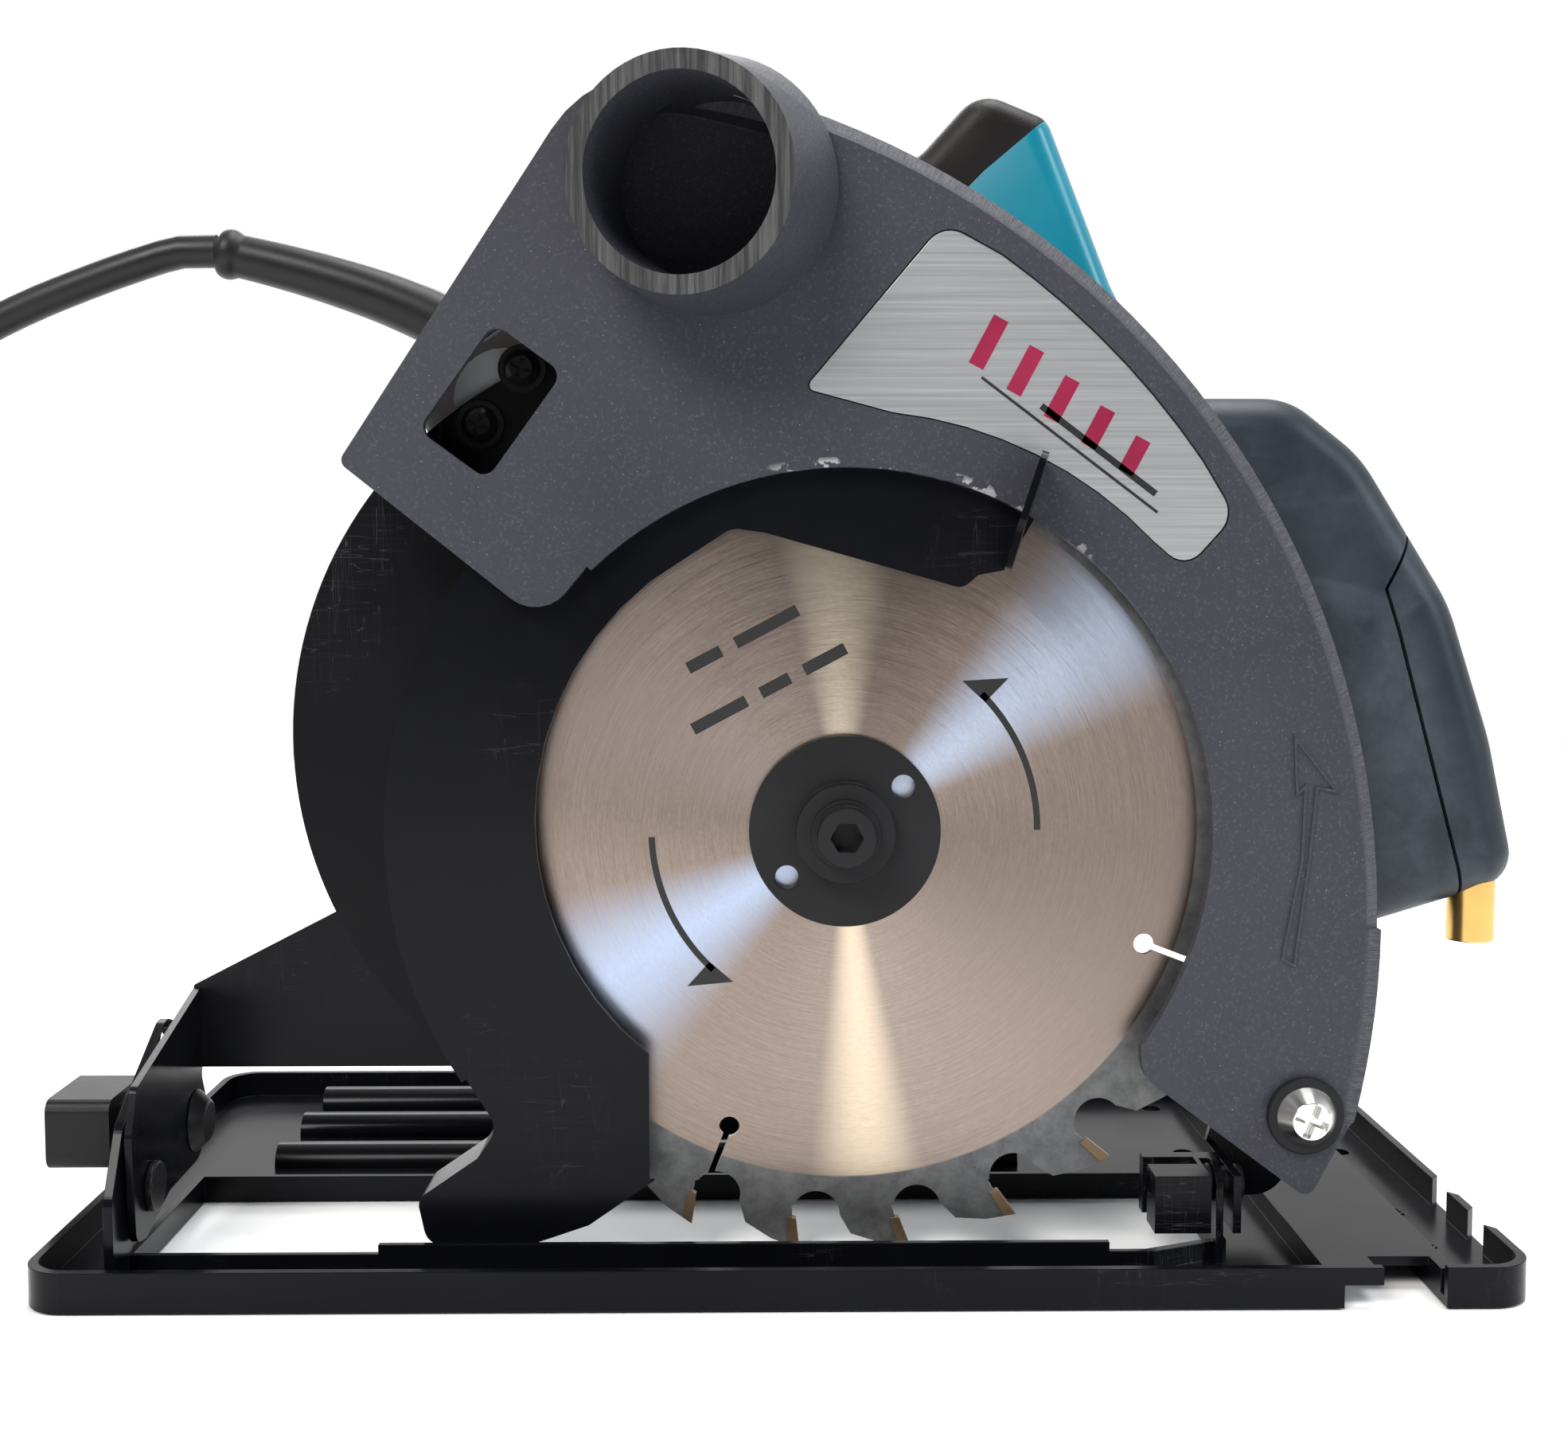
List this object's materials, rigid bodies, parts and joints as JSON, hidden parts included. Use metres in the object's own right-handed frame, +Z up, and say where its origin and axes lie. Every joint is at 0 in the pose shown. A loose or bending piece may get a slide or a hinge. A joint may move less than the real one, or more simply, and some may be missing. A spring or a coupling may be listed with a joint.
{
  "type": "handheld circular saw",
  "caption": "Mains handheld circular saw with a swinging lower blade guard, tilting base plate, depth swing and angled dust port.",
  "frame": {"origin": "middle of the base plate's length and width, on its sole", "axes": "+X forwards along the cut, +Y from the blade towards the motor, +Z up"},
  "size_m": [0.5143, 0.2365, 0.2628],
  "materials": {
    "guard_paint": "textured charcoal paint over a magnesium casting",
    "label": null,
    "black_paint": "gloss black paint over pressed steel",
    "bright_screw": "bright zinc",
    "dark_screw": "blackened steel",
    "cast_alloy": "as cast",
    "teal_plastic": "moulded, semi-gloss",
    "black_plastic": "moulded",
    "brown_rubber": "overmoulded grip, matt",
    "navy_plastic": "fine grained",
    "steel": "machined",
    "blade_steel": "radially brushed disc",
    "carbide": "brazed carbide",
    "core_steel": "varnished laminations",
    "copper": "enamelled copper",
    "carbon": "graphite",
    "brass": "turned",
    "red_plastic": "moulded",
    "cord_rubber": "satin rubber sheath"
  },
  "bodies": {
    "saw": {"upper_guard": "guard_paint", "label_plate": "label", "rear_shield": "black_paint", "shield_screws": "dark_screw", "gear_housing": "cast_alloy", "motor_housing": "teal_plastic", "end_cap": "black_plastic", "housing_screws": "dark_screw", "brush_caps": "black_plastic", "brush_holders": "brass", "carbon_brushes": "carbon", "stator": "core_steel", "field_coils": "copper", "spindle_bearings": "steel", "armature_bearings": "steel", "guard_spring": "steel", "depth_screw": "bright_screw", "pivot_collar": "dark_screw", "depth_bolt": "steel", "handle_right": "teal_plastic", "handle_left": "teal_plastic", "handle_grip": "brown_rubber", "handle_screws": "dark_screw", "power_switch": "black_plastic", "front_grip": "navy_plastic", "battery_cover": "navy_plastic", "grip_screws": "dark_screw", "laser_module": "brass", "strain_relief": "cord_rubber", "cord": "cord_rubber", "cord_coil": "cord_rubber", "cord_tie": "cord_rubber", "plug": "cord_rubber", "plug_pins": "steel"},
    "carriage": {"rear_bracket": "black_paint", "front_bracket": "black_paint", "bevel_rivets": "dark_screw", "bevel_bolt": "dark_screw"},
    "base": {"base_plate": "black_paint"},
    "bevel_knob": {"bevel_knob": "black_plastic"},
    "depth_lever": {"depth_lever": "black_paint"},
    "lower_guard": {"lower_guard": "black_paint"},
    "blade_unit": {"blade": "blade_steel", "carbide_tips": "carbide", "outer_flange": "dark_screw", "inner_flange": "steel", "blade_bolt": "dark_screw", "spindle": "steel", "spindle_gear": "steel"},
    "armature": {"armature_shaft": "steel", "armature_core": "core_steel", "armature_windings": "copper", "commutator": "copper", "cooling_fan": "black_plastic"},
    "trigger": {"trigger": "black_plastic"},
    "lock_off_button": {"lock_off_button": "black_plastic"},
    "spindle_lock": {"spindle_lock": "black_plastic"},
    "laser_switch": {"laser_switch": "red_plastic"}
  },
  "joints": [
    {"name": "depth_swing", "type": "hinge", "parent": "saw", "child": "carriage", "pos_m": [0.1115, -0.033, 0.0349], "axis": [0, 1, 0], "range_deg": [0, 26]},
    {"name": "bevel_tilt", "type": "hinge", "parent": "carriage", "child": "base", "pos_m": [0, -0.052, 0.018], "axis": [-1, 0, 0], "range_deg": [0, 45]},
    {"name": "bevel_knob_turn", "type": "hinge", "parent": "carriage", "child": "bevel_knob", "pos_m": [-0.152, -0.02, 0.023], "axis": [1, 0, 0], "range_deg": [0, 90]},
    {"name": "depth_lever_turn", "type": "hinge", "parent": "saw", "child": "depth_lever", "pos_m": [-0.05233, -0.007, 0.14961], "axis": [0, 1, 0], "range_deg": [0, 55]},
    {"name": "lower_guard_swing", "type": "hinge", "parent": "saw", "child": "lower_guard", "pos_m": [0.014, -0.048, 0.0945], "axis": [0, -1, 0], "range_deg": [-60, 70], "stiffness_Nm_per_rad": 0.12, "springref_deg": 69.9},
    {"name": "blade_spin", "type": "hinge", "parent": "saw", "child": "blade_unit", "pos_m": [0.014, -0.048, 0.0945], "axis": [0, -1, 0], "continuous": true},
    {"name": "armature_spin", "type": "hinge", "parent": "saw", "child": "armature", "pos_m": [0.02138, 0.04, 0.12203], "axis": [0, -1, 0], "continuous": true},
    {"name": "trigger_squeeze", "type": "slide", "parent": "saw", "child": "trigger", "axis": [-0.4182, 0, 0.9084], "range_m": [0, 0.006], "stiffness_N_per_m": 500, "springref_m": -0.004},
    {"name": "lock_off_push", "type": "slide", "parent": "saw", "child": "lock_off_button", "axis": [0, -1, 0], "range_m": [0, 0.003], "stiffness_N_per_m": 400, "springref_m": -0.002},
    {"name": "spindle_lock_push", "type": "slide", "parent": "saw", "child": "spindle_lock", "axis": [-1, 0, 0], "range_m": [0, 0.0023], "stiffness_N_per_m": 500, "springref_m": -0.002},
    {"name": "laser_switch_slide", "type": "slide", "parent": "saw", "child": "laser_switch", "axis": [1, 0, 0], "range_m": [0, 0.006]}
  ],
  "couplings": [
    {"joint": "armature_spin", "follows": "blade_spin", "ratio": -4.7}
  ]
}
